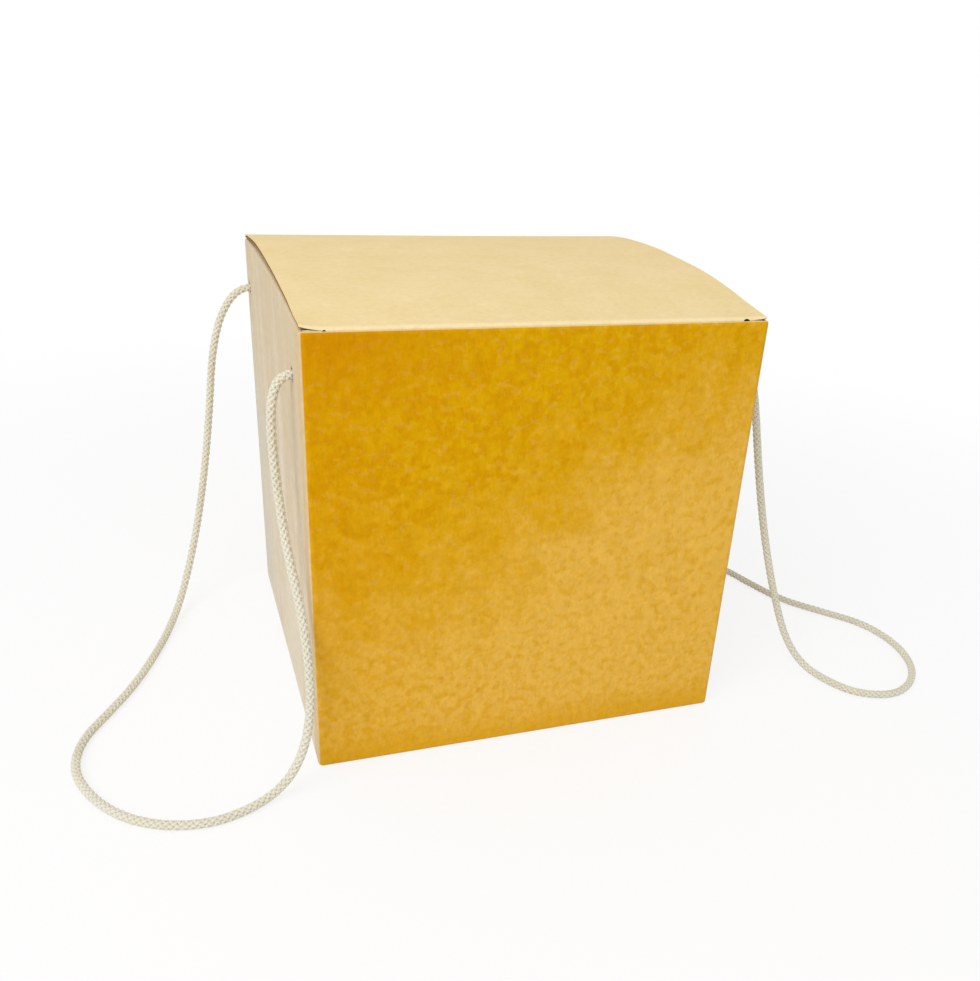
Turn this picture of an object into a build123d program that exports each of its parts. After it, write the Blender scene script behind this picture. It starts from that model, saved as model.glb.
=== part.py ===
from build123d import *
import math
import os

# Panettone carton: a folded micro-flute card box with an arched tuck-in lid and two knotted rope handles.
# Millimetres, +Z up, origin on the ground under the middle of the box, front wall towards -Y.

# Box
top_width = 200.0  # outside, at the top of the front wall
base_width = 194.0  # outside, at the ground
wall_height = 197.0  # front and rear walls
wall_rise = 3.0  # rise of the side walls' arched tops above the front wall
board = 1.5  # thickness of the card
corner_radius = 2.2  # outside of the upright folds
base_radius = 1.5  # outside of the folds under the walls
arch_fold_radius = 1.2  # outside of the folds between side walls and dust flaps

# Flaps of the box
dust_reach = 70.0  # from the side wall's face to the free edge
dust_slant = 9.0  # how much each end draws in towards the free edge
dust_corner = 14.0
dust_gap = 1.0  # ends of the dust flaps to the tuck flap
bottom_seam = 0.6  # between the two outer bottom flaps
inner_flap_reach = 70.0  # inner bottom flaps, from the side walls
glue_flap_width = 26.0
glue_flap_drop = 10.0  # top of the glue flap below the wall's top

# Lid
lid_rise = 6.5  # the lid bows higher than the side walls
lid_gap = 0.3  # lid above the walls at its front and rear
lid_inset = 0.4  # cut sides of the lid behind the side walls
lid_fold_radius = 2.4  # outside of the front fold
tuck_depth = 36.0
tuck_gap = 0.3  # tuck flap behind the front wall
tuck_inset = 4.5  # ends of the tuck flap from the sides of the lid
tuck_corner = 16.0
slit_length = 11.0  # cut at each end of the front fold
slit_height = 1.2
slit_eye = 2.4  # diameter of the eye that ends the slit

# Rope handles
rope_diameter = 4.2
hole_clearance = 0.6
hole_spacing = 160.0  # centre to centre on one side wall
hole_shift = 6.0  # middle of the two holes behind the middle of the wall
hole_drop = 23.0  # below the top of the front wall
knot_diameter = 11.0
knot_face = 8.0  # diameter of the knot's pressed face
knot_gap = 0.3  # knot to the inside of the wall
rope_stub = 6.0  # straight length that leaves the knot

top_half = top_width / 2
floor_top = 2 * board
arch_radius = (top_half**2 + wall_rise**2) / (2 * wall_rise)
arch_z = wall_height + wall_rise - arch_radius
block_top = wall_height + wall_rise + 4 * board
lid_half = top_half - lid_inset
lid_inner = (top_half**2 + lid_rise**2) / (2 * lid_rise)
lid_outer = lid_inner + board
lid_z = wall_height + lid_gap + lid_rise - lid_inner
hinge_y = top_half - board / 2
hinge_z = lid_z + math.sqrt((lid_inner + board / 2) ** 2 - hinge_y**2)
tuck_front = top_half - board - tuck_gap
tuck_outer = hinge_y + tuck_front
tuck_inner = tuck_outer - board
tuck_tip_z = hinge_z - tuck_depth
hole_z = wall_height - hole_drop
rope_radius = rope_diameter / 2
hole_radius = rope_radius + hole_clearance


def half_width(z):
    return base_width / 2 + (top_width - base_width) / 2 * z / wall_height


def hole_y(end):
    return hole_shift + end * hole_spacing / 2


wall_inside = half_width(hole_z) - board
knot_x = wall_inside - knot_gap


def rounded_square(inset, z, radius):
    side = 2 * (half_width(z) - inset)
    return Pos(0, 0, z) * RectangleRounded(side, side, radius)


def tapered_block(inset, bottom, top):
    radius = max(corner_radius - inset, board / 3)
    return loft([rounded_square(inset, bottom, radius), rounded_square(inset, top, radius)], ruled=True)


def cross_cylinder(radius, y, z, length):
    return Pos(0, y, z) * Rot(0, 90, 0) * Cylinder(radius, length)


def box_between(low, high):
    size = [b - a for a, b in zip(low, high)]
    return Pos(*low) * Box(*size, align=(Align.MIN, Align.MIN, Align.MIN))


def dust_flap(side):
    root = top_half - board / 2
    tip = top_half - dust_reach
    end = tuck_front - board - dust_gap
    outline = Polygon((root, -end), (tip, dust_slant - end), (tip, end - dust_slant), (root, end), align=None)
    outline = fillet(outline.vertices().sort_by(Axis.X)[:2], dust_corner)
    if side < 0:
        outline = mirror(outline, about=Plane.YZ)
    column = extrude(outline, amount=block_top, dir=(0, 0, 1))
    ring = cross_cylinder(arch_radius, 0, arch_z, top_width) - cross_cylinder(
        arch_radius - board, 0, arch_z, top_width
    )
    return column & ring


def carton_body():
    outside = tapered_block(0, 0, block_top)
    outside = fillet(outside.edges().group_by(Axis.Z)[0], base_radius)
    body = outside - tapered_block(board, floor_top, block_top)
    body = body & cross_cylinder(arch_radius, 0, arch_z, 2 * top_width)
    body = body + dust_flap(-1) + dust_flap(1)
    # arched folds, where the dust flaps leave the side walls
    arched = body.edges().filter_by(lambda e: e.length > top_half and e.center().Z > wall_height)
    body = fillet(arched.sort_by(lambda e: abs(e.center().X))[-2:], arch_fold_radius)
    # gap between the two inner bottom flaps, and the seam where the outer ones meet
    gap_half = base_width / 2 - inner_flap_reach
    inside_half = base_width / 2 - board
    body -= box_between((-gap_half, -inside_half, board), (gap_half, inside_half, floor_top))
    body -= box_between((-inside_half, -bottom_seam / 2, 0), (inside_half, bottom_seam / 2, board))
    # glue flap, on the inside of the rear wall
    layer = tapered_block(board, floor_top, wall_height - glue_flap_drop)
    layer -= tapered_block(2 * board, floor_top, wall_height - glue_flap_drop)
    widest = max(top_width, base_width) / 2
    flap_face = min(top_width, base_width) / 2 - 2 * board
    body += layer & box_between((-widest, flap_face, floor_top), (glue_flap_width - top_half, widest, wall_height))
    for side in (-1, 1):
        for end in (-1, 1):
            hole = Pos(side * top_half, hole_y(end), hole_z) * Rot(0, 90, 0)
            body -= hole * Cylinder(hole_radius, 8 * board)
    return body


def lid_section():
    # lid panel and tuck flap in one line: two arches about the bow's centre, two arcs about the hinge line
    arch_centre = Vector(0, 0, lid_z)
    hinge = Vector(0, hinge_y, hinge_z)
    towards_hinge = (hinge - arch_centre).normalized()
    across = Vector(0, -towards_hinge.Z, towards_hinge.Y)
    reach = (hinge - arch_centre).length

    def corner(arch, tuck):
        along = (arch**2 - tuck**2 + reach**2) / (2 * reach)
        return arch_centre + towards_hinge * along + across * math.sqrt(arch**2 - along**2)

    def tip(tuck):
        return Vector(0, hinge_y - math.sqrt(tuck**2 - tuck_depth**2), tuck_tip_z)

    def arc(centre, radius, start, stop):
        middle = ((start - centre).normalized() + (stop - centre).normalized()).normalized()
        return ThreePointArc(start, centre + middle * radius, stop)

    outer_corner = corner(lid_outer, tuck_outer)
    inner_corner = corner(lid_inner, tuck_inner)
    rear_top = arch_centre + towards_hinge * lid_outer
    rear_bottom = arch_centre + towards_hinge * lid_inner
    edges = [
        arc(arch_centre, lid_outer, outer_corner, rear_top),
        ThreePointArc(rear_top, hinge - across * board / 2, rear_bottom),
        arc(arch_centre, lid_inner, rear_bottom, inner_corner),
        arc(hinge, tuck_inner, inner_corner, tip(tuck_inner)),
        Line(tip(tuck_inner), tip(tuck_outer)),
        arc(hinge, tuck_outer, tip(tuck_outer), outer_corner),
    ]
    section = Face(Wire(edges))
    section = fillet(section.vertices().sort_by_distance(outer_corner)[0], lid_fold_radius)
    return fillet(section.vertices().sort_by_distance(inner_corner)[0], lid_fold_radius - board)


def lid():
    whole = Pos(-lid_half, 0, 0) * extrude(lid_section(), amount=2 * lid_half, dir=(1, 0, 0))
    slit_top = lid_z + math.sqrt(lid_inner**2 - (tuck_front - lid_fold_radius) ** 2)
    slit_bottom = slit_top - slit_height
    flap_back = -tuck_front + tuck_depth / 2
    tuck_half = lid_half - tuck_inset
    slit_start = lid_half - slit_length
    # outline of the tuck flap below the slits, with rounded lower corners
    face = Rectangle(2 * tuck_half, 2 * tuck_depth, align=(Align.CENTER, Align.MIN))
    face = fillet(face.vertices().group_by(Axis.Y)[0], tuck_corner)
    outline = extrude(Plane.XZ * (Pos(0, tuck_tip_z) * face), amount=top_width, both=True)
    whole -= box_between((-top_half, -top_half, 0), (top_half, flap_back, slit_bottom)) - outline
    for side in (-1, 1):
        slit_end = side * lid_half
        low_x = min(side * slit_start, slit_end)
        high_x = max(side * slit_start, slit_end)
        whole -= box_between((low_x, -top_half, slit_bottom), (high_x, flap_back, slit_top))
        eye = Pos(side * slit_start, board / 2 - tuck_front, slit_top - slit_height / 2) * Rot(90, 0, 0)
        whole -= eye * Cylinder(slit_eye / 2, 2 * board)
    return whole


def knot(side, end):
    radius = knot_diameter / 2
    face_angle = math.degrees(math.acos(knot_face / knot_diameter))
    offset = radius * math.sin(math.radians(face_angle))
    place = Pos(side * (knot_x - offset), hole_y(end), hole_z) * Rot(0, side * 90, 0)
    return place * Sphere(radius, arc_size2=face_angle, align=None)


# Points that each rope's route turns at, from just outside its front hole to just outside its rear hole.
left_route = [
    (-108.0, -74.3, 165.8),
    (-109.0, -75.5, 151.5),
    (-108.1, -78.5, 129.8),
    (-106.0, -86.5, 104.1),
    (-102.6, -98.5, 81.5),
    (-101.1, -109.0, 57.9),
    (-102.2, -113.5, 35.9),
    (-107.5, -113.8, 16.3),
    (-116.3, -113.5, 4.0),
    (-129.1, -120.1, 2.1),
    (-145.3, -124.6, 2.1),
    (-163.8, -120.6, 2.1),
    (-179.9, -109.3, 2.1),
    (-191.6, -91.7, 2.1),
    (-197.6, -72.6, 2.1),
    (-194.6, -52.0, 2.1),
    (-183.8, -33.2, 2.1),
    (-172.8, -12.9, 2.1),
    (-162.8, 12.7, 2.1),
    (-154.2, 40.2, 2.1),
    (-146.7, 64.5, 7.4),
    (-139.6, 79.0, 24.7),
    (-133.2, 84.5, 49.7),
    (-127.9, 86.5, 79.3),
    (-123.9, 87.2, 109.5),
    (-121.2, 87.2, 135.9),
    (-116.9, 87.0, 155.3),
    (-110.9, 86.5, 167.4),
]
right_route = [
    (109.2, -73.9, 169.2),
    (113.6, -73.3, 157.3),
    (118.3, -72.0, 140.6),
    (124.0, -70.5, 117.6),
    (130.5, -70.0, 91.7),
    (138.2, -70.0, 64.9),
    (147.3, -70.6, 38.0),
    (155.4, -73.5, 16.0),
    (163.7, -79.8, 2.8),
    (167.8, -96.0, 2.1),
    (177.1, -112.3, 2.1),
    (195.6, -119.0, 2.1),
    (212.1, -111.9, 2.1),
    (224.8, -96.8, 2.1),
    (230.9, -74.2, 2.1),
    (226.1, -48.8, 2.1),
    (208.9, -29.2, 2.1),
    (193.6, -10.7, 2.1),
    (185.4, 12.6, 2.1),
    (179.0, 35.8, 2.1),
    (165.2, 54.4, 2.8),
    (149.0, 74.0, 13.0),
    (137.5, 84.5, 36.0),
    (129.5, 86.5, 66.0),
    (124.0, 87.2, 98.0),
    (119.6, 87.2, 129.0),
    (115.0, 87.0, 153.0),
    (109.8, 86.5, 168.0),
]


def rope(side, route, name):
    def stub(end):
        y = hole_y(end)
        return [(side * knot_x, y, hole_z), (side * (knot_x + rope_stub), y, hole_z)]

    points = [Vector(p) for p in stub(-1) + route + stub(1)[::-1]]
    runs = [b - a for a, b in zip(points, points[1:])]
    radii = []
    for before, after in zip(runs, runs[1:]):
        half_turn = math.radians(before.get_angle(after)) / 2
        radii.append(0.45 * min(before.length, after.length) / math.tan(half_turn))
    path = FilletPolyline(*points, radius=radii)
    section = Plane(origin=path @ 0, z_dir=path % 0) * Circle(rope_radius)
    tube = sweep(section, path=path)
    share = tube.volume / (math.pi * rope_radius**2 * path.length)
    print(name, "length", round(path.length, 1), "volume against section times length", round(share, 4))
    print(name, "arc radii", [round(r, 1) for r in radii])
    return tube


nodes = {
    "carton_body": carton_body(),
    "lid": lid(),
    "left_rope": rope(-1, left_route, "left_rope"),
    "right_rope": rope(1, right_route, "right_rope"),
}
for side_name, side in (("left", -1), ("right", 1)):
    for end_name, end in (("front", -1), ("rear", 1)):
        nodes[f"{side_name}_{end_name}_knot"] = knot(side, end)

print("hinge line at y", round(hinge_y, 3), "z", round(hinge_z, 3))
os.makedirs("parts", exist_ok=True)
for name, solid in nodes.items():
    export_step(solid, f"parts/{name}.step")
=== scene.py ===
import math

import bmesh
import bpy
import numpy as np
from mathutils import Matrix, Vector


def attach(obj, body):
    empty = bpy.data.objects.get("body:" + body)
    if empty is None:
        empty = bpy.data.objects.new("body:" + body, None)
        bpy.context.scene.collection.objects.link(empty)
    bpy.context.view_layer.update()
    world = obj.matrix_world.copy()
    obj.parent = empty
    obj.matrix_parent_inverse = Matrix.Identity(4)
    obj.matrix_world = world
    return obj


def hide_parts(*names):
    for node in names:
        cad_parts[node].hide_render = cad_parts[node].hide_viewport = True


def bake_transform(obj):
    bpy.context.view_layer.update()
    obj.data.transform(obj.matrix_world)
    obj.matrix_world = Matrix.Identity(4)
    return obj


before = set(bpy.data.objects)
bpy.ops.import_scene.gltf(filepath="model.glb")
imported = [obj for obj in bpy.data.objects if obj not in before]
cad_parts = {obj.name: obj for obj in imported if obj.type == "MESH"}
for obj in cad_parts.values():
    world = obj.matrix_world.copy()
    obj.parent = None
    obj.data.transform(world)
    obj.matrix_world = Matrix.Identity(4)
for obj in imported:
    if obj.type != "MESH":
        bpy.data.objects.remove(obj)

scene = bpy.context.scene
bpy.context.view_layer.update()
millimetre = 0.001
perMetre = 1000.0  # millimetres
fullTurn = 2 * math.pi


class Socket:
    # one output of a node, with arithmetic that adds Math nodes
    def __init__(self, net, socket):
        self.net = net
        self.socket = socket

    def out(self, name):
        return Socket(self.net, self.socket.node.outputs[name])

    def __add__(self, other):
        return self.net.math("ADD", self, other)

    def __radd__(self, other):
        return self.net.math("ADD", other, self)

    def __sub__(self, other):
        return self.net.math("SUBTRACT", self, other)

    def __rsub__(self, other):
        return self.net.math("SUBTRACT", other, self)

    def __mul__(self, other):
        return self.net.math("MULTIPLY", self, other)

    def __rmul__(self, other):
        return self.net.math("MULTIPLY", other, self)

    def __truediv__(self, other):
        return self.net.math("DIVIDE", self, other)

    def __rtruediv__(self, other):
        return self.net.math("DIVIDE", other, self)

    def __abs__(self):
        return self.net.math("ABSOLUTE", self)


class Net:
    # a node tree; node() takes a type, its settings, then the values or links of its sockets
    def __init__(self, tree):
        self.tree = tree

    def node(self, kind, settings=None, sockets=None, out=0):
        made = self.tree.nodes.new(kind)
        for name, value in (settings or {}).items():
            if name == "stops":
                ramp = made.color_ramp.elements
                while len(ramp) < len(value):
                    ramp.new(1.0)
                for stop, (place, colour) in zip(ramp, value):
                    stop.position = place
                    stop.color = colour
            else:
                setattr(made, name, value)
        for name, value in (sockets or {}).items():
            if isinstance(value, Socket):
                self.tree.links.new(value.socket, made.inputs[name])
            else:
                made.inputs[name].default_value = value
        return Socket(self, made.outputs[out]) if made.outputs else None

    def math(self, operation, *values):
        return self.node("ShaderNodeMath", {"operation": operation}, dict(enumerate(values)))

    def vector(self, operation, *values, out=0):
        return self.node("ShaderNodeVectorMath", {"operation": operation}, dict(enumerate(values)), out)

    def scaled(self, direction, amount):
        return self.node("ShaderNodeVectorMath", {"operation": "SCALE"}, {0: direction, "Scale": amount})

    def split(self, place):
        parts = self.node("ShaderNodeSeparateXYZ", None, {0: place})
        return [parts.out(axis) for axis in "XYZ"]

    def clamp(self, value):
        return self.math("MAXIMUM", self.math("MINIMUM", value, 1.0), 0.0)

    def smooth(self, value, low, high):
        return self.node(
            "ShaderNodeMapRange",
            {"interpolation_type": "SMOOTHSTEP"},
            {"Value": value, "From Min": low, "From Max": high},
        )

    def mix(self, factor, first, second, blend="MIX"):
        settings = {"data_type": "RGBA", "blend_type": blend}
        return self.node("ShaderNodeMix", settings, {0: factor, 6: first, 7: second}, 2)

    def noise(self, place, scale, detail=2.0, more=None):
        sockets = {"Vector": place, "Scale": scale, "Detail": detail, **(more or {})}
        return self.node("ShaderNodeTexNoise", None, sockets)

    def attribute(self, name, out):
        return self.node("ShaderNodeAttribute", {"attribute_name": name}).out(out)

    def store(self, geometry, name, value, kind="FLOAT", domain="POINT"):
        sockets = {"Geometry": geometry, "Name": name, "Value": value}
        return self.node("GeometryNodeStoreNamedAttribute", {"data_type": kind, "domain": domain}, sockets)

    def stored(self, name, kind="FLOAT"):
        return self.node("GeometryNodeInputNamedAttribute", {"data_type": kind}, {"Name": name})

    def join(self, parts):
        joined = self.node("GeometryNodeJoinGeometry")
        for part in parts:
            self.tree.links.new(part.socket, joined.socket.node.inputs[0])
        return joined


def tone(red, green, blue):
    # a colour as a screen shows it, 0 to 255, in linear light
    def linear(value):
        value = value / 255
        return value / 12.92 if value <= 0.04045 else ((value + 0.055) / 1.055) ** 2.4

    return (linear(red), linear(green), linear(blue), 1.0)


def clipped(share):
    return min(1.0, max(0.0, share))


def ease(value, low, high):
    share = clipped((value - low) / (high - low))
    return share**2 * (3 - 2 * share)


def newMaterial(name):
    material = bpy.data.materials.new(name)
    material.use_nodes = True
    material.node_tree.nodes.clear()
    return material, Net(material.node_tree)


def finishSurface(net, shader):
    net.node("ShaderNodeOutputMaterial", None, {"Surface": shader})


def addObject(name, data):
    made = bpy.data.objects.new(name, data)
    scene.collection.objects.link(made)
    return made


def finalMesh(made):
    # an object's mesh with its modifiers, or its curve's points as a mesh of edges
    bpy.context.view_layer.update()
    graph = bpy.context.evaluated_depsgraph_get()
    return bpy.data.meshes.new_from_object(made.evaluated_get(graph), depsgraph=graph)


def triangleCount(mesh):
    return sum(len(face.vertices) - 2 for face in mesh.polygons)


def newTree(name, sizes, counts=()):
    # a Geometry Nodes tree with named inputs; returns its net and its inputs by name
    tree = bpy.data.node_groups.new(name, "GeometryNodeTree")
    kinds = {"Geometry": "NodeSocketGeometry"}
    kinds |= {title: "NodeSocketFloat" for title in sizes}
    kinds |= {title: "NodeSocketInt" for title in counts}
    kinds["Material"] = "NodeSocketMaterial"
    for title, kind in kinds.items():
        tree.interface.new_socket(title, in_out="INPUT", socket_type=kind)
    tree.interface.new_socket("Geometry", in_out="OUTPUT", socket_type="NodeSocketGeometry")
    net = Net(tree)
    entry = net.node("NodeGroupInput")
    return net, {title: entry.out(title) for title in kinds}


def steppedCurve(net, given):
    # the tree's mesh of edges as a curve with even steps
    line = net.node("GeometryNodeMeshToCurve", None, {"Mesh": given["Geometry"]})
    return net.node("GeometryNodeResampleCurve", {"mode": "LENGTH"}, {"Curve": line, "Length": given["Step"]})


def finishTree(net, geometry, given):
    whole = net.node("GeometryNodeRealizeInstances", None, {"Geometry": geometry})
    whole = net.node("GeometryNodeSetMaterial", None, {"Geometry": whole, "Material": given["Material"]})
    net.node("NodeGroupOutput", None, {"Geometry": whole})
    return net.tree


def runTree(name, source, tree, values):
    # the tree's result on a mesh, as a plain mesh
    holder = addObject(name + "Source", source)
    modifier = holder.modifiers.new("tree", "NODES")
    modifier.node_group = tree
    for item in tree.interface.items_tree:
        if item.in_out == "INPUT" and item.name in values:
            modifier[item.identifier] = values[item.name]
    result = finalMesh(holder)
    bpy.data.objects.remove(holder)
    result.name = name
    result.materials.clear()
    result.materials.append(values["Material"])
    result.polygons.foreach_set("material_index", [0] * len(result.polygons))
    return result


def joinMeshes(name, meshes):
    # several meshes in one, with their materials kept apart
    joined = bpy.data.meshes.new(name)
    whole = bmesh.new()
    for mesh in meshes:
        start = len(joined.materials)
        for material in mesh.materials:
            joined.materials.append(material)
        before = len(whole.faces)
        whole.from_mesh(mesh)
        whole.faces.ensure_lookup_table()
        for face in whole.faces[before:]:
            face.material_index += start
    whole.to_mesh(joined)
    whole.free()
    return joined


# Camera

cameraSet = {
    "place": (-0.15114, -0.48943, 0.29803),
    "yaw": 22.379,
    "pitch": 23.620,
    "roll": 4.153,
    "focal": 1060.3,  # in pixels of the 980 x 981 picture
    "middle": (561.8, 515.5),
    "picture": (980, 981),
}


def makeCamera(look):
    yaw, pitch, roll = (math.radians(look[k]) for k in ("yaw", "pitch", "roll"))
    forward = Vector((math.sin(yaw) * math.cos(pitch), math.cos(yaw) * math.cos(pitch), -math.sin(pitch)))
    level = Vector((math.cos(yaw), -math.sin(yaw), 0))
    upright = level.cross(forward)
    right = level * math.cos(roll) + upright * math.sin(roll)
    up = upright * math.cos(roll) - level * math.sin(roll)
    data = bpy.data.cameras.new("camera")
    made = addObject("camera", data)
    turn = Matrix((right, up, -forward)).transposed().to_4x4()
    made.matrix_world = Matrix.Translation(look["place"]) @ turn
    width, height = look["picture"]
    data.sensor_fit = "HORIZONTAL"
    data.sensor_width = 36.0
    data.lens = look["focal"] / width * data.sensor_width
    data.shift_x = (width / 2 - look["middle"][0]) / width
    data.shift_y = (look["middle"][1] - height / 2) / width
    data.clip_start = 0.01
    scene.camera = made


makeCamera(cameraSet)
print("camera placed")


# Rope handles

holeSet = {
    # punched in both side walls, in millimetres
    "shift": 6.0,  # middle of the two holes behind the middle of the wall
    "half": 80.0,  # from there to each hole
    "height": 174.0,
}
ropeSet = {
    "radius": 2.1 * millimetre,
    "strandRadius": 0.72 * millimetre,
    "strandSides": 7,
    "weaveDepth": 0.2 * millimetre,
    "pitch": 12.0 * millimetre,  # one turn of a strand
    "pairs": 4,  # strands that turn each way
    "step": 0.65 * millimetre,
    "coreRadius": 1.22 * millimetre,
    "coreSides": 8,
    # the rope's own ivory lies between these; raised strands take pale as painted light, strands under them
    # and the core take shade as painted shade
    "pale": tone(234, 230, 215),
    "shade": tone(209, 202, 175),
    "yarns": 2,  # in each strand
    "yarnTwist": 5200.0,  # radians in a metre of strand
    "fuzzScale": 2600.0,
    "driftScale": 55.0,
    "roughness": 0.85,
    "sheen": 0.25,
    "gloss": 0.2,
}
leftRoute = [
    (-0.09785, -0.0740, 0.1740),
    (-0.10385, -0.0740, 0.1740),
    (-0.1080, -0.0743, 0.1658),
    (-0.1090, -0.0755, 0.1515),
    (-0.1081, -0.0785, 0.1298),
    (-0.1060, -0.0865, 0.1041),
    (-0.1026, -0.0985, 0.0815),
    (-0.1011, -0.1090, 0.0579),
    (-0.1022, -0.1135, 0.0359),
    (-0.1075, -0.1138, 0.0163),
    (-0.1163, -0.1135, 0.0040),
    (-0.1291, -0.1201, 0.0021),
    (-0.1453, -0.1246, 0.0021),
    (-0.1638, -0.1206, 0.0021),
    (-0.1799, -0.1093, 0.0021),
    (-0.1916, -0.0917, 0.0021),
    (-0.1976, -0.0726, 0.0021),
    (-0.1946, -0.0520, 0.0021),
    (-0.1838, -0.0332, 0.0021),
    (-0.1728, -0.0129, 0.0021),
    (-0.1628, 0.0127, 0.0021),
    (-0.1542, 0.0402, 0.0021),
    (-0.1467, 0.0645, 0.0074),
    (-0.1396, 0.0790, 0.0247),
    (-0.1332, 0.0845, 0.0497),
    (-0.1279, 0.0865, 0.0793),
    (-0.1239, 0.0872, 0.1095),
    (-0.1212, 0.0872, 0.1359),
    (-0.1169, 0.0870, 0.1553),
    (-0.1109, 0.0865, 0.1674),
    (-0.10385, 0.0860, 0.1740),
    (-0.09785, 0.0860, 0.1740),
]
rightRoute = [
    (0.09785, -0.0740, 0.1740),
    (0.10385, -0.0740, 0.1740),
    (0.1092, -0.0739, 0.1692),
    (0.1136, -0.0733, 0.1573),
    (0.1183, -0.0720, 0.1406),
    (0.1240, -0.0705, 0.1176),
    (0.1305, -0.0700, 0.0917),
    (0.1382, -0.0700, 0.0649),
    (0.1473, -0.0706, 0.0380),
    (0.1554, -0.0735, 0.0160),
    (0.1637, -0.0798, 0.0028),
    (0.1678, -0.0960, 0.0021),
    (0.1771, -0.1123, 0.0021),
    (0.1956, -0.1190, 0.0021),
    (0.2121, -0.1119, 0.0021),
    (0.2248, -0.0968, 0.0021),
    (0.2309, -0.0742, 0.0021),
    (0.2261, -0.0488, 0.0021),
    (0.2089, -0.0292, 0.0021),
    (0.1936, -0.0107, 0.0021),
    (0.1854, 0.0126, 0.0021),
    (0.1790, 0.0358, 0.0021),
    (0.1652, 0.0544, 0.0028),
    (0.1490, 0.0740, 0.0130),
    (0.1375, 0.0845, 0.0360),
    (0.1295, 0.0865, 0.0660),
    (0.1240, 0.0872, 0.0980),
    (0.1196, 0.0872, 0.1290),
    (0.1150, 0.0870, 0.1530),
    (0.1098, 0.0865, 0.1680),
    (0.10385, 0.0860, 0.1740),
    (0.09785, 0.0860, 0.1740),
]


def ropeLine(name, points):
    # the points of a smooth spline over a rope's route, as a mesh of edges
    curve = bpy.data.curves.new(name, "CURVE")
    curve.dimensions = "3D"
    curve.resolution_u = 16
    spline = curve.splines.new("NURBS")
    spline.points.add(len(points) - 1)
    for point, place in zip(spline.points, points):
        point.co = (*place, 1.0)
    spline.order_u = 3
    spline.use_endpoint_u = True
    holder = addObject(name + "Line", curve)
    line = finalMesh(holder)
    bpy.data.objects.remove(holder)
    return line


def cottonRope(look):
    material, net = newMaterial("cottonRope")
    along, around, height = (net.attribute(name, "Fac") for name in ("along", "around", "height"))
    place = net.node("ShaderNodeTexCoord").out("Object")
    # yarns that twist along each strand
    yarn = net.math("SINE", along * look["yarnTwist"] + around * (look["yarns"] * fullTurn))
    fuzz = net.noise(place, look["fuzzScale"], 3.0)
    drift = net.noise(place, look["driftScale"])
    # paler where a strand crosses over another, as painted light; darker on strands passing under and on the
    # core, as painted shade
    strandTopLight = net.smooth(height, -0.6, 0.9)
    light = strandTopLight * 0.75 + yarn * 0.06 + (drift - 0.5) * 0.5 + (fuzz - 0.5) * 0.35 + 0.12
    colour = net.mix(net.clamp(light), look["shade"], look["pale"])
    relief = {"Strength": 0.5, "Distance": 0.2 * millimetre, "Height": yarn * 0.5 + fuzz}
    surface = {
        "Base Color": colour,
        "Roughness": look["roughness"],
        "Normal": net.node("ShaderNodeBump", None, relief),
        "Sheen Weight": look["sheen"],
        "Specular IOR Level": look["gloss"],
    }
    finishSurface(net, net.node("ShaderNodeBsdfPrincipled", None, surface))
    return material


def braidTree(look):
    # strands that cross over and under each other round a line, over a plain core
    sizes = ("Radius", "Strand Radius", "Weave Depth", "Pitch", "Step", "Core Radius")
    net, given = newTree("ropeBraid", sizes, ["Pairs"])

    def circle(sides, radius):
        return net.node("GeometryNodeCurvePrimitiveCircle", None, {"Resolution": sides, "Radius": radius})

    def tube(path, section):
        sockets = {"Curve": path, "Profile Curve": section, "Fill Caps": True}
        return net.node("GeometryNodeCurveToMesh", None, sockets)

    line = steppedCurve(net, given)
    repeats = {"Geometry": line, "Amount": given["Pairs"] * 2.0}
    copies = net.node("GeometryNodeDuplicateElements", {"domain": "SPLINE"}, repeats)
    number = copies.out("Duplicate Index")
    turning = 1.0 - 2.0 * net.math("MODULO", number, 2.0)  # every other strand turns the other way
    place = net.math("FLOOR", number / 2.0)
    length = net.node("GeometryNodeSplineParameter").out("Length")
    turn = length / given["Pitch"] * fullTurn
    angle = turning * turn + place / given["Pairs"] * fullTurn
    over = net.math("COSINE", turn * given["Pairs"]) * turning
    reach = given["Radius"] - given["Strand Radius"] - given["Weave Depth"] + over * given["Weave Depth"]
    normal = net.node("GeometryNodeInputNormal")
    side = net.vector("CROSS_PRODUCT", net.node("GeometryNodeInputTangent"), normal)
    outward = net.scaled(normal, net.math("COSINE", angle) * reach)
    sideways = net.scaled(side, net.math("SINE", angle) * reach)
    offset = net.vector("ADD", outward, sideways)
    strands = net.store(net.store(copies, "along", length), "height", over)
    strands = net.node("GeometryNodeSetPosition", None, {"Geometry": strands, "Offset": offset})
    ring = circle(look["strandSides"], given["Strand Radius"])
    ring = net.store(ring, "around", net.node("GeometryNodeSplineParameter").out("Factor"))
    core = net.store(net.store(line, "along", length), "height", -1.0)
    rim = circle(look["coreSides"], given["Core Radius"])
    whole = net.join([tube(strands, ring), tube(core, rim)])
    whole = net.node("GeometryNodeSetShadeSmooth", None, {"Geometry": whole, "Shade Smooth": True})
    return finishTree(net, whole, given)


ropeMaterial = cottonRope(ropeSet)
ropeTree = braidTree(ropeSet)


def braid(name, line, look, share=1.0):
    sizes = {
        "Radius": look["radius"],
        "Strand Radius": look["strandRadius"],
        "Weave Depth": look["weaveDepth"],
        "Pitch": look["pitch"],
        "Step": look["step"],
        "Core Radius": look["coreRadius"],
    }
    values = {title: size * share for title, size in sizes.items()}
    values |= {"Pairs": look["pairs"], "Material": ropeMaterial}
    return runTree(name, line, ropeTree, values)


knotSet = {
    # lengths in millimetres
    "share": 0.86,  # rope drawn tight in the knot
    "middle": 92.8,  # from the middle of the box
    "turnRadius": 1.2,
    "thickness": 1.15,
    "opening": 0.35,  # radians left out between the knot's two ends
    "points": 23,
    "tailShift": (0.6, 0.8),
    "tailDrops": (3.6, 6.4, 8.0),
}


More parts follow.
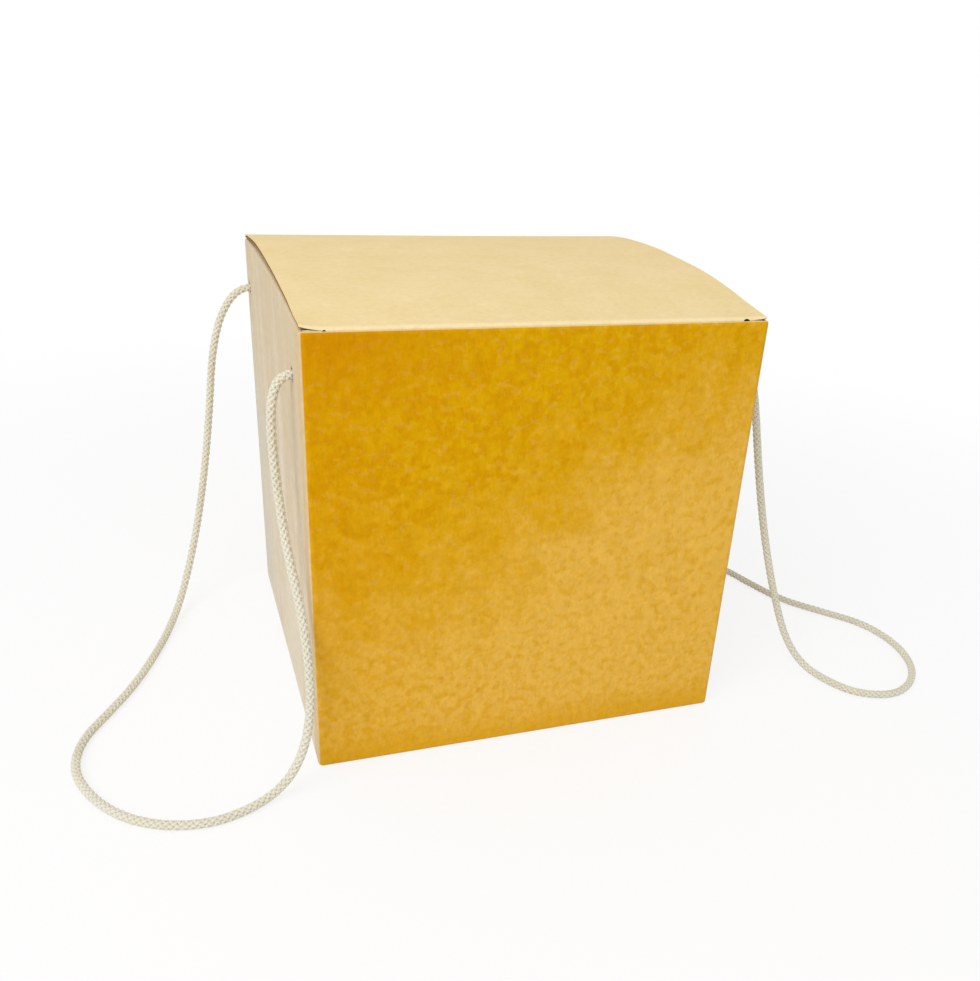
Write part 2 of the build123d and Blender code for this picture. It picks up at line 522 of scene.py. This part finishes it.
def knotRoute(side, end, look):
    # overhand knot just inside the wall, from the rope's end at the hole to a short hanging tail
    middle = np.array([side * look["middle"], holeSet["shift"] + end * holeSet["half"], holeSet["height"]])
    points = []
    for t in np.linspace(look["opening"], fullTurn - look["opening"], look["points"]):
        depth = -math.sin(3 * t) * look["thickness"]
        across = (math.sin(t) + 2 * math.sin(2 * t)) * look["turnRadius"]
        rise = (math.cos(t) - 2 * math.cos(2 * t)) * look["turnRadius"]
        points.append(middle + (side * depth, across, rise))
    last = points[-1]
    inward, along = look["tailShift"]
    points += [last + (-side * inward, along, -drop) for drop in look["tailDrops"]]
    return [tuple(point * millimetre) for point in points]


def makeRope(name, route, side):
    line = ropeLine(name, route)
    rope = addObject(name, braid(name, line, ropeSet))
    label = name.replace("Rope", "")
    for endName, end in (("front", -1), ("rear", 1)):
        title = f"{label}{endName.title()}Knot"
        knotLine = ropeLine(title, knotRoute(side, end, knotSet))
        knot = addObject(title, braid(title, knotLine, ropeSet, knotSet["share"]))
        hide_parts(f"{label}_{endName}_knot")
        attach(knot, "carton")
    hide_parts(f"{label}_rope")
    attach(rope, "carton")
    2 * ropeSet["radius"]


makeRope("leftRope", leftRoute, -1)
makeRope("rightRope", rightRoute, 1)


# Card, shared by box and lid

boxSet = {
    # lengths in millimetres
    "topHalf": 100.0,
    "baseHalf": 97.0,
    "wallHeight": 197.0,
    "wallRise": 3.0,
    "board": 1.5,
    "flutePitch": 3.2,
    # gold tones: the front and rear walls' own kraft, darkened and warmed as painted shade
    "gold": tone(216, 162, 24),
    "goldDeep": tone(209, 151, 0),
    "goldPale": tone(227, 179, 76),
    "goldEdge": tone(203, 134, 0),
    "goldOlive": tone(214, 163, 2),
    "goldSpeck": tone(186, 132, 8),
    # pale tones: the sides' own kraft, paled by a painted sheen; the rear tone is a painted reflection
    "side": tone(214, 196, 166),
    "sideLow": tone(228, 216, 197),
    "sideFold": tone(216, 189, 144),
    "sideRearSheen": tone(212, 207, 194),
    # painted shade round the rope holes
    "holeShade": tone(150, 108, 52),
    "holeShadeReach": (2.4, 4.6),  # painted shade round each rope hole
    # cream tones: the lid's own kraft, paled by painted light and sheen
    "cream": tone(239, 216, 165),
    "creamDeep": tone(234, 209, 152),
    # fold: painted highlight along the lid's front fold
    "fold": tone(245, 225, 178),
    "inner": tone(190, 152, 104),
    "innerDeep": tone(170, 130, 84),
    "raw": tone(222, 196, 140),
    # fluting: the medium's own brown, darkened further as painted shade for the lid's shaded cut edges
    "fluting": tone(120, 92, 60),
    "foldHighlightFrom": (94.5, 96.5),  # forward on the lid, where the painted highlight on the front fold begins
    "creaseFrom": (98.9, 99.6),  # back on the lid, where the rear wall's paper begins
    "flapsFrom": (96.0, 97.0),  # up and down from half the walls' height, to dust flaps and base
    "cutFrom": (98.0, 98.2),  # out from the middle, to the cut tops of front and rear wall
    "boxFlecks": 0.085,
    "lidFlecks": 0.05,
    "boxRidges": 0.1,
    "lidRidges": 0.08,
    "paperRoughness": 0.66,
    "linerRoughness": 0.8,
}
cloudSet = {
    # stretch, scale, detail and seed of the paper's soft clouds
    "blot": ((1.0, 1.0, 0.9), 0.08, 2.0, 1),
    "patch": ((1.0, 1.0, 0.75), 0.03, 2.0, 2),
    "streak": ((1.0, 1.0, 0.12), 0.07, 3.0, 3),
    "lid": ((1.0, 1.0, 1.0), 0.05, 3.0, 4),
    "liner": ((1.0, 1.0, 1.0), 0.09, 3.0, 5),
    "mottle": ((1.0, 1.0, 1.0), 0.22, 2.0, 6),
    "speck": ((1.0, 1.0, 1.2), 0.27, 2.0, 7),
}
archRadius = (boxSet["topHalf"] ** 2 + boxSet["wallRise"] ** 2) / (2 * boxSet["wallRise"])
archZ = boxSet["wallHeight"] + boxSet["wallRise"] - archRadius


def cloud(net, place, name):
    stretch, scale, detail, seed = cloudSet[name]
    shift = (seed * 31.0, seed * 17.0, seed * 53.0)
    return net.noise(net.vector("MULTIPLY_ADD", place, stretch, shift), scale, detail)


def cardGrain(net, place):
    # short fibres and flecks of the paper, as one value about 0
    fine = net.noise(place, 0.32, 3.0, {"Roughness": 0.65})
    stretched = net.vector("MULTIPLY", place, (1.5, 1.5, 0.5))
    fibres = net.noise(stretched, 0.5, 3.0, {"Distortion": 1.2})
    return (fine - 0.5) + (fibres - 0.5)


def flecked(net, place, colour, amount):
    # lighter and darker fibres in the paper
    dark = (1 - amount, 1 - amount * 1.1, 1 - amount * 1.5, 1)
    light = (1 + amount, 1 + amount, 1 + amount, 1)
    grain = net.clamp(cardGrain(net, place) * 0.8 + 0.5)
    flecks = net.node("ShaderNodeValToRGB", {"stops": [(0.25, dark), (0.75, light)]}, {"Fac": grain})
    return net.mix(1.0, colour, flecks, "MULTIPLY")


def cardSurface(net, place, colour, along, ridge, roughness):
    # paper surface: faint ridges over the fluting, fibre bump
    grain = cardGrain(net, place)
    flutes = net.math("SINE", along * (fullTurn / boxSet["flutePitch"])) * ridge
    relief = {"Strength": 0.12, "Distance": 0.4 * millimetre, "Height": grain * 0.5 + flutes}
    surface = {
        "Base Color": colour,
        "Roughness": roughness + grain * 0.12,
        "Normal": net.node("ShaderNodeBump", None, relief),
        "Specular IOR Level": 0.03,
    }
    finishSurface(net, net.node("ShaderNodeBsdfPrincipled", None, surface))


def goldShadedPaper(net, look, at):
    # golden front and rear, the same paper as the sides and lid in painted warm shade: deeper above as
    # painted shade, paler below and to the right as painted light, with soft clouds
    fall, blot = at["fall"], at["blot"]
    patch, mottle, speck = (cloud(net, at["place"], name) for name in ("patch", "mottle", "speck"))
    across = at["x"] / look["topHalf"]
    # painted light: the wall pales from the top down and towards the right
    turnsAt = 0.47 - 0.4 * net.smooth(across, -0.5, 1.0)
    paintedLightLevel = fall - turnsAt + (patch - 0.5) * 0.3 + (blot - 0.5) * 0.4 + (mottle - 0.5) * 0.6
    paintedLightShare = net.smooth(paintedLightLevel, -0.28, 0.34) * (0.76 + 0.24 * net.smooth(across, -0.9, 0.3))
    paintedLightShare = paintedLightShare * (1.0 - 0.36 * net.smooth(mottle * 0.7 + speck * 0.3, 0.43, 0.62))
    olive = net.smooth(mottle * 0.8 + blot * 0.2, 0.4, 0.6)
    gold = net.mix(olive, look["goldDeep"], look["goldOlive"])
    gold = net.mix(net.smooth(paintedLightShare, 0.0, 0.45), gold, look["gold"])
    gold = net.mix(net.smooth(paintedLightShare, 0.3, 1.0), gold, look["goldPale"])
    gold = net.mix((1.0 - net.smooth(speck, 0.34, 0.46)) * 0.22, gold, look["goldPale"])
    gold = net.mix(net.smooth(speck, 0.56, 0.74) * 0.16, gold, look["goldSpeck"])
    # plainer just above the ground
    foot = (1.0 - net.smooth(at["z"] + (blot - 0.5) * 14.0, 2.0, 20.0)) * 0.75
    gold = net.mix(foot, gold, look["gold"])
    # darker along the left fold and in the upper left corner
    inset = at["half"] + at["x"]
    left = (1.0 - net.smooth(inset + (blot - 0.5) * 30.0, 0.0, 60.0)) * (0.42 - fall * 0.4)
    corner = (1.0 - net.smooth(fall, 0.0, 0.25)) * (1.0 - net.smooth(across, -0.95, 0.0)) * 0.75
    return net.mix(net.math("MAXIMUM", left, corner), gold, look["goldEdge"])


def paleSheenPaper(net, look, at):
    # pale sides, the same paper as the front and rear under a painted sheen: faint upright streaks, lighter
    # below, greyer to the rear on the left side as a painted reflection
    y, fall = at["y"], at["fall"]
    streak = cloud(net, at["place"], "streak")
    light = net.clamp((streak - 0.5) * 1.8 + (at["blot"] - 0.5) * 0.8 + fall * 0.95)
    pale = net.mix(light, look["side"], look["sideLow"])
    onLeft = net.smooth(0.0 - at["x"], -1.0, 1.0)
    # painted reflection, greyer towards the rear of the left side
    rearSheen = net.smooth(y, 20.0, 95.0) * net.smooth(fall, 0.15, 0.5) * onLeft
    pale = net.mix(rearSheen * 0.7, pale, look["sideRearSheen"])
    # warmer beside the front folds; painted shade round the rope holes
    pale = net.mix(net.smooth(0.0 - y - at["half"], -16.0, -6.0) * 0.8, pale, look["sideFold"])
    spot = net.node("ShaderNodeCombineXYZ", None, {"X": abs(y - holeSet["shift"]), "Y": at["z"]})
    away = net.vector("SUBTRACT", spot, (holeSet["half"], holeSet["height"], 0.0))
    rim = 1.0 - net.smooth(net.vector("LENGTH", away, out=1), *look["holeShadeReach"])
    return net.mix(rim * 0.35, pale, look["holeShade"])


def boxCard(look):
    material, net = newMaterial("kraftBox")
    metres = net.node("ShaderNodeTexCoord").out("Object")
    place = net.vector("MULTIPLY", metres, (perMetre, perMetre, perMetre))
    x, y, z = net.split(place)
    wide, deep, height = abs(x), abs(y), look["wallHeight"]
    half = look["baseHalf"] + z * ((look["topHalf"] - look["baseHalf"]) / height)
    fall = net.clamp((height - z) / height)  # 0 at the top of the walls, 1 at the ground
    blot = cloud(net, place, "blot")
    at = {"place": place, "x": x, "y": y, "z": z, "half": half, "fall": fall, "blot": blot}
    # dust flaps and base are folded in from the pale sides
    folded = net.smooth(abs(z - height / 2), *look["flapsFrom"]) * net.smooth(half - deep, 1.6, 2.2)
    # the golden front and rear and the pale sides are one paper: their different colours are painted shade
    # and painted sheen
    golden = net.smooth(deep - wide, -0.5, 0.5) * (1.0 - folded)
    colour = net.mix(golden, paleSheenPaper(net, look, at), goldShadedPaper(net, look, at))
    # inner liner, where the surface lies behind the outer paper
    sunk = net.smooth(half - net.math("MAXIMUM", wide, deep), 0.85, 1.15)
    lift = z - archZ
    under = net.smooth(archRadius - net.math("SQRT", lift * lift + y * y), 0.6, 0.9)
    inside = sunk * under * net.smooth(z, 0.6, 0.9)
    brown = net.mix(net.clamp(blot * 1.6 - 0.3), look["inner"], look["innerDeep"])
    colour = net.mix(inside, colour, brown)
    # cut tops of the front and rear walls
    cut = net.smooth(z, height - 0.12, height - 0.04) * net.smooth(deep, *look["cutFrom"])
    colour = net.mix(cut, colour, look["raw"])
    colour = flecked(net, place, colour, look["boxFlecks"])
    cardSurface(net, place, colour, z, look["boxRidges"], look["paperRoughness"])
    return material


def lidCard(look):
    material, net = newMaterial("kraftLid")
    place = net.attribute("restPlace", "Vector")
    y = net.split(place)[1]
    # the lid's pale cream is painted light and sheen over the same paper as the walls
    shade = net.clamp((cloud(net, place, "lid") - 0.5) * 1.8 + 0.35)
    colour = net.mix(shade, look["cream"], look["creamDeep"])
    # paler over the front fold, a painted highlight; the rear crease runs on from the rear wall
    colour = net.mix(net.smooth(0.0 - y, *look["foldHighlightFrom"]) * 0.7, colour, look["fold"])
    colour = net.mix(net.smooth(y, *look["creaseFrom"]), colour, look["gold"])
    colour = flecked(net, place, colour, look["lidFlecks"])
    cardSurface(net, place, colour, y, look["lidRidges"], look["paperRoughness"])
    return material


def innerCard(name, first, second):
    material, net = newMaterial(name)
    place = net.attribute("restPlace", "Vector")
    colour = net.mix(net.clamp((cloud(net, place, "liner") - 0.5) * 2.4 + 0.5), first, second)
    cardSurface(net, place, colour, net.split(place)[1], boxSet["lidRidges"], boxSet["linerRoughness"])
    return material


boxMaterial = boxCard(boxSet)
lidMaterial = lidCard(boxSet)
linerMaterial = innerCard("innerLiner", boxSet["inner"], boxSet["innerDeep"])
# the fluting's colours are partly painted shade for the shaded cut edges
flutingMaterial = innerCard("fluting", boxSet["fluting"], boxSet["innerDeep"])

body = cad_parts["carton_body"]
body.data.materials.clear()
body.data.materials.append(boxMaterial)
print("card materials made")


# Lid, made of an outer liner, a waved fluting and an inner liner

lidSet = {
    # lengths in millimetres; a pair is left and right where no note says otherwise
    "rise": 6.5,
    "gap": 0.3,
    "half": 99.6,
    "rearHalf": 97.6,
    "rearFold": 1.3,  # at the middle of the board
    "creaseHeight": 1.2,  # the crease widens over this height above the rear wall
    "frontFold": 1.65,
    "flapsFrom": 90.0,  # crease and tuck flap lie further from the middle than this
    "tuckDepth": 36.0,
    "tuckFront": 98.4,
    "tuckInset": 4.5,
    "tuckCorner": 16.0,
    "slits": (9.2, 10.1),
    "slitHeight": 0.22,
    "eyes": ((1.3, 0.9), (3.0, 1.6)),  # width and height
    "eyeSides": 20,
    "shoulder": 98.4,  # half width of the tuck flap just under the slits
    "shoulderHeight": 3.0,
    "shoulderLift": 1.16,  # the flap presses up against the lifted corners
    "shoulderPress": (0.05, 0.17),  # how much of each slit the flap closes
    "pressed": (62.0, 96.0),  # grows between these, towards the front: the board is crushed and dips
    "frontDip": 0.7,
    "crush": 0.45,
    "liner": 0.3,
    "fluteThickness": 0.18,
    "step": 0.3,
    "leftBow": -1.3,  # the lid bows less on the left and more on the right
    "leftSpan": (50.0, 147.0),  # rear end and length
    "rightBow": 1.55,
    "rightFrom": (-80.0, -30.0),  # grows between these, from front to rear
    "rearBow": 0.75,  # more of it further back on the right
    "rearFrom": (-20.0, 30.0),  # grows between these, from front to rear
    "rearFade": (98.0, 45.0),  # rear end and length
    "corners": (1.2, 0.25),  # rise of the front corners beside the slits
    "cornersFrom": (80.0, 97.0),  # grows between these, towards the front
    "cornerCurve": 1.5,
    "cuts": (-97.5, -95.0, -92.5, -90.4, -60.0, 0.0, 60.0, 89.5, 92.0, 94.5, 97.0),
}


def lidHalfWidth(y, z, look, slitTop, tipZ):
    # half width of the lid at a point of its line
    slitBottom = slitTop - look["slitHeight"]
    if y > look["flapsFrom"]:
        share = clipped((z - boxSet["wallHeight"]) / look["creaseHeight"])
        return look["rearHalf"] + (look["half"] - look["rearHalf"]) * share
    if y > -look["flapsFrom"] or z > slitTop:
        return look["half"]
    if z > slitBottom:
        return look["half"] - max(look["slits"])
    if z > slitBottom - look["shoulderHeight"]:
        return look["shoulder"]
    corner = look["tuckCorner"]
    low = min(corner, max(0.0, corner - (z - tipZ)))
    return look["half"] - look["tuckInset"] - (corner - math.sqrt(corner**2 - low**2))


def lidLine(look):
    # middle line of the lid's board, from the rear wall over the arch and down the tuck flap
    board = boxSet["board"]
    inner = (boxSet["topHalf"] ** 2 + look["rise"] ** 2) / (2 * look["rise"])
    middle = inner + board / 2
    bowZ = boxSet["wallHeight"] + look["gap"] + look["rise"] - inner
    hingeY = boxSet["topHalf"] - board / 2
    hingeZ = bowZ + math.sqrt(middle**2 - hingeY**2)
    tuck = hingeY + look["tuckFront"] - board / 2
    centre = np.array([0.0, bowZ])
    hinge = np.array([hingeY, hingeZ])

    def turn(about, radius, first, last):
        steps = max(4, int(abs(last - first) * radius / look["step"]))
        angles = np.linspace(first, last, steps)
        return [about + radius * np.array([math.cos(a), math.sin(a)]) for a in angles]

    def bearing(v):
        return math.atan2(v[1], v[0])

    rearY = hingeY - look["rearFold"]
    rear = np.array([rearY, bowZ + math.sqrt((middle - look["rearFold"]) ** 2 - rearY**2)])
    reach = np.linalg.norm(hinge - centre)
    towards = (hinge - centre) / reach
    across = np.array([-towards[1], towards[0]])
    first, second = middle - look["frontFold"], tuck - look["frontFold"]
    along = (first**2 - second**2 + reach**2) / (2 * reach)
    front = centre + towards * along + across * math.sqrt(first**2 - along**2)
    slitTop = bowZ + math.sqrt(inner**2 - (look["tuckFront"] - look["frontFold"] - board / 2) ** 2)
    rearTurn, frontTurn = bearing(rear - centre), bearing(front - centre)
    tuckTurn = bearing(front - hinge) % fullTurn
    tipTurn = math.pi + math.asin(look["tuckDepth"] / tuck)
    path = [np.array([hingeY, boxSet["wallHeight"]])]
    path += turn(rear, look["rearFold"], 0.0, rearTurn)
    path += turn(centre, middle, rearTurn, frontTurn)[1:]
    path += turn(front, look["frontFold"], frontTurn, tuckTurn)[1:]
    path += turn(hinge, tuck, tuckTurn, tipTurn)[1:]
    widths, crush, places = [], [], []
    for y, z in path:
        press = ease(-y, *look["pressed"])
        crush.append(1.0 + (look["crush"] - 1.0) * press)
        places.append((0.0, y * millimetre, (z - look["frontDip"] * press) * millimetre))
        widths.append(lidHalfWidth(y, z, look, slitTop, hingeZ - look["tuckDepth"]) * millimetre)
    mesh = bpy.data.meshes.new("lidLine")
    mesh.from_pydata(places, [(k, k + 1) for k in range(len(places) - 1)], [])
    mesh.attributes.new("halfWidth", "FLOAT", "POINT").data.foreach_set("value", widths)
    mesh.attributes.new("crush", "FLOAT", "POINT").data.foreach_set("value", crush)
    return mesh, slitTop - look["slitHeight"] / 2 - look["frontDip"]


def boardTree():
    # one layer of the board: a line swept across the lid, waved if asked, with a thickness
    net, given = newTree("boardLayer", ("Offset", "Wave", "Pitch", "Thickness", "Step"))
    line = steppedCurve(net, given)
    outward = net.vector("CROSS_PRODUCT", net.node("GeometryNodeInputTangent"), (1.0, 0.0, 0.0))
    line = net.store(line, "outward", outward, "FLOAT_VECTOR")
    length = net.node("GeometryNodeSplineParameter").out("Length")
    wave = net.math("SINE", length / given["Pitch"] * fullTurn)
    rise = (given["Offset"] + given["Wave"] * wave) * net.stored("crush") - given["Thickness"] * 0.5
    lift = net.scaled(outward, rise)
    line = net.node("GeometryNodeSetPosition", None, {"Geometry": line, "Offset": lift})
    # the line moves to the left edge, and its copy to the right edge
    width = net.stored("halfWidth")
    left = net.node("ShaderNodeCombineXYZ", None, {"X": width * -1.0})
    line = net.node("GeometryNodeSetPosition", None, {"Geometry": line, "Offset": left})
    edges = net.node("GeometryNodeCurveToMesh", None, {"Curve": line})
    sideways = net.node("ShaderNodeCombineXYZ", None, {"X": 1.0})
    wide = {"Mesh": edges, "Offset": sideways, "Offset Scale": millimetre}
    sheet = net.node("GeometryNodeExtrudeMesh", {"mode": "EDGES"}, wide)
    y, z = net.split(net.node("GeometryNodeInputPosition"))[1:]
    right = net.node("ShaderNodeCombineXYZ", None, {"X": width, "Y": y, "Z": z})
    moved = {"Geometry": sheet, "Selection": sheet.out("Top"), "Position": right}
    sheet = net.node("GeometryNodeSetPosition", None, moved)
    sheet = net.node("GeometryNodeFlipFaces", None, {"Mesh": sheet})
    normal = net.stored("outward", "FLOAT_VECTOR")
    thick = {"Mesh": sheet, "Offset": normal, "Offset Scale": given["Thickness"], "Individual": False}
    face = net.node("GeometryNodeExtrudeMesh", {"mode": "FACES"}, thick)
    back = net.node("GeometryNodeFlipFaces", None, {"Mesh": sheet})
    whole = net.join([face, back])
    whole = net.node("GeometryNodeMergeByDistance", None, {"Geometry": whole, "Distance": 0.001 * millimetre})
    whole = net.node("GeometryNodeSetShadeSmooth", None, {"Geometry": whole, "Shade Smooth": True})
    bend = net.node("GeometryNodeInputMeshEdgeAngle").out("Unsigned Angle")
    whole = net.store(whole, "sharp_edge", net.math("GREATER_THAN", bend, 0.9), "BOOLEAN", "EDGE")
    return finishTree(net, whole, given)


def cutEye(target, place, size, length, sides):
    # cuts an oval eye along Y through a piece
    tool = bmesh.new()
    turn = Matrix.Translation(place) @ Matrix.Diagonal((size[0] / 2, 1.0, size[1] / 2, 1.0))
    turn = turn @ Matrix.Rotation(math.pi / 2, 4, "X")
    bmesh.ops.create_cone(
        tool, cap_ends=True, segments=sides, radius1=1.0, radius2=1.0, depth=length, matrix=turn
    )
    mesh = bpy.data.meshes.new("eyeCutter")
    tool.to_mesh(mesh)
    tool.free()
    mesh.materials.append(target.data.materials[0])
    cutter = addObject("eyeCutter", mesh)
    modifier = target.modifiers.new("eye", "BOOLEAN")
    modifier.operation = "DIFFERENCE"
    modifier.solver = "EXACT"
    modifier.object = cutter
    result = finalMesh(target)
    target.modifiers.clear()
    target.data = result
    bpy.data.objects.remove(cutter)


def bowLid(mesh, look, slitMiddle):
    # the lid bows unevenly from side to side, and its front corners lift beside the slits
    shape = bmesh.new()
    shape.from_mesh(mesh)
    for x in look["cuts"]:
        whole = shape.verts[:] + shape.edges[:] + shape.faces[:]
        bmesh.ops.bisect_plane(shape, geom=whole, plane_co=(x * millimetre, 0, 0), plane_no=(1, 0, 0))
    leftEnd, leftLength = look["leftSpan"]
    rearEnd, rearLength = look["rearFade"]
    for point in shape.verts:
        x, y, z = (value * perMetre for value in point.co)
        side = 0 if x < 0 else 1
        free = max(0.0, (abs(x) - look["half"]) / look["slits"][side] + 1)  # 0 at the eye, 1 at the corner
        corner = look["corners"][side] * free ** look["cornerCurve"] * ease(-y, *look["cornersFrom"])
        if z < slitMiddle:
            # the top of the tuck flap follows the corners
            reach = ease(z, slitMiddle - look["shoulderHeight"], slitMiddle)
            press = look["shoulderPress"][side] * min(1.0, free * 4)
            point.co.z += (corner * look["shoulderLift"] + press) * reach * millimetre
            continue
        left = look["leftBow"] * math.sin(math.pi * clipped((leftEnd - y) / leftLength))
        right = look["rightBow"] + look["rearBow"] * ease(y, *look["rearFrom"])
        right *= ease(y, *look["rightFrom"])
        right *= math.sin(math.pi / 2 * clipped((rearEnd - y) / rearLength))
        share = (x / look["half"] + 1) / 2
        point.co.z += (left * (1 - share) + right * share + corner) * millimetre
    shape.to_mesh(mesh)
    shape.free()


def keepPlace(mesh):
    # where each point lies at rest, in millimetres, for the material
    places = np.zeros(len(mesh.vertices) * 3, np.float32)
    mesh.vertices.foreach_get("co", places)
    attribute = mesh.attributes.new("restPlace", "FLOAT_VECTOR", "POINT")
    attribute.data.foreach_set("vector", places * perMetre)


def makeLid(look):
    line, slitMiddle = lidLine(look)
    tree = boardTree()
    board = boxSet["board"]
    linerOffset = (board - look["liner"]) / 2
    wave = board / 2 - look["liner"] - look["fluteThickness"] / 2
    layers = []
    for name, offset, height, thickness, material in (
        ("lidOuter", linerOffset, 0.0, look["liner"], lidMaterial),
        ("lidFluting", 0.0, wave, look["fluteThickness"], flutingMaterial),
        ("lidInner", -linerOffset, 0.0, look["liner"], linerMaterial),
    ):
        values = {
            "Offset": offset * millimetre,
            "Wave": height * millimetre,
            "Pitch": boxSet["flutePitch"] * millimetre,
            "Thickness": thickness * millimetre,
            "Step": look["step"] * millimetre,
            "Material": material,
        }
        layer = addObject(name, runTree(name, line.copy(), tree, values))
        for side, slit, eye in zip((-1, 1), look["slits"], look["eyes"]):
            place = Vector((side * (look["half"] - slit), board / 2 - look["tuckFront"], slitMiddle))
            size = [v * millimetre for v in eye]
            cutEye(layer, place * millimetre, size, 4 * board * millimetre, look["eyeSides"])
        layers.append(layer.data)
        bpy.data.objects.remove(layer)
    lid = addObject("lidPanel", joinMeshes("lidPanel", layers))
    bowLid(lid.data, look, slitMiddle)
    keepPlace(lid.data)
    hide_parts("lid")
    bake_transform(lid)
    print("lid triangles", triangleCount(lid.data))


makeLid(lidSet)


# Floor, world and lights

lightSet = {
    "ambient": 0.7,
    "keyPower": 11.0,
    "keyPlace": (-0.83, -0.83, 1.2),
    "keyAim": (0, 0, 0.1),
    "keySize": 0.9,
    "floor": tone(246, 246, 245),
    "floorShade": tone(238, 238, 238),
    "floorHalf": 6.0,
    "floorDrop": 0.0002,  # below the box and the ropes
    "floorGlow": 0.78,
    "shadowReach": (0.3, 0.75),  # the floor turns plain white between these distances
}
white = (1, 1, 1, 1)


def cameraLike(net):
    path = net.node("ShaderNodeLightPath")
    seen = net.math("MAXIMUM", path.out("Is Camera Ray"), path.out("Is Glossy Ray"))
    return net.math("MAXIMUM", seen, path.out("Is Transmission Ray"))


def makeFloor(look):
    mesh = bpy.data.meshes.new("floor")
    half, level = look["floorHalf"], -look["floorDrop"]
    corners = [(-half, -half, level), (half, -half, level), (half, half, level), (-half, half, level)]
    mesh.from_pydata(corners, [], [(0, 1, 2, 3)])
    floor = addObject("floor", mesh)
    material, net = newMaterial("paleFloor")
    place = net.node("ShaderNodeTexCoord").out("Object")
    colour = net.mix(net.noise(place, 3.0) * 0.03, look["floor"], look["floorShade"])
    away = net.smooth(net.vector("LENGTH", place, out=1), *look["shadowReach"])
    plain = away * (1.0 - look["floorGlow"]) + look["floorGlow"]
    matt = net.node("ShaderNodeBsdfDiffuse", None, {"Color": colour})
    glow = net.node("ShaderNodeEmission", None, {"Color": white, "Strength": 1.0})
    finishSurface(net, net.node("ShaderNodeMixShader", None, {0: cameraLike(net) * plain, 1: matt, 2: glow}))
    mesh.materials.append(material)


def makeWorld(look):
    world = bpy.data.worlds.new("studio")
    world.use_nodes = True
    world.node_tree.nodes.clear()
    net = Net(world.node_tree)
    strength = cameraLike(net) * (1.0 - look["ambient"]) + look["ambient"]
    light = net.node("ShaderNodeBackground", None, {"Color": white, "Strength": strength})
    net.node("ShaderNodeOutputWorld", None, {"Surface": light})
    scene.world = world


def makeKeyLight(look):
    data = bpy.data.lights.new("key", "AREA")
    data.energy = look["keyPower"]
    data.size = look["keySize"]
    lamp = addObject("key", data)
    lamp.location = look["keyPlace"]
    aim = Vector(look["keyAim"]) - Vector(look["keyPlace"])
    lamp.rotation_euler = aim.to_track_quat("-Z", "Y").to_euler()


makeFloor(lightSet)
makeWorld(lightSet)
makeKeyLight(lightSet)
scene.view_settings.view_transform = "Standard"
print("floor, world and lights placed")
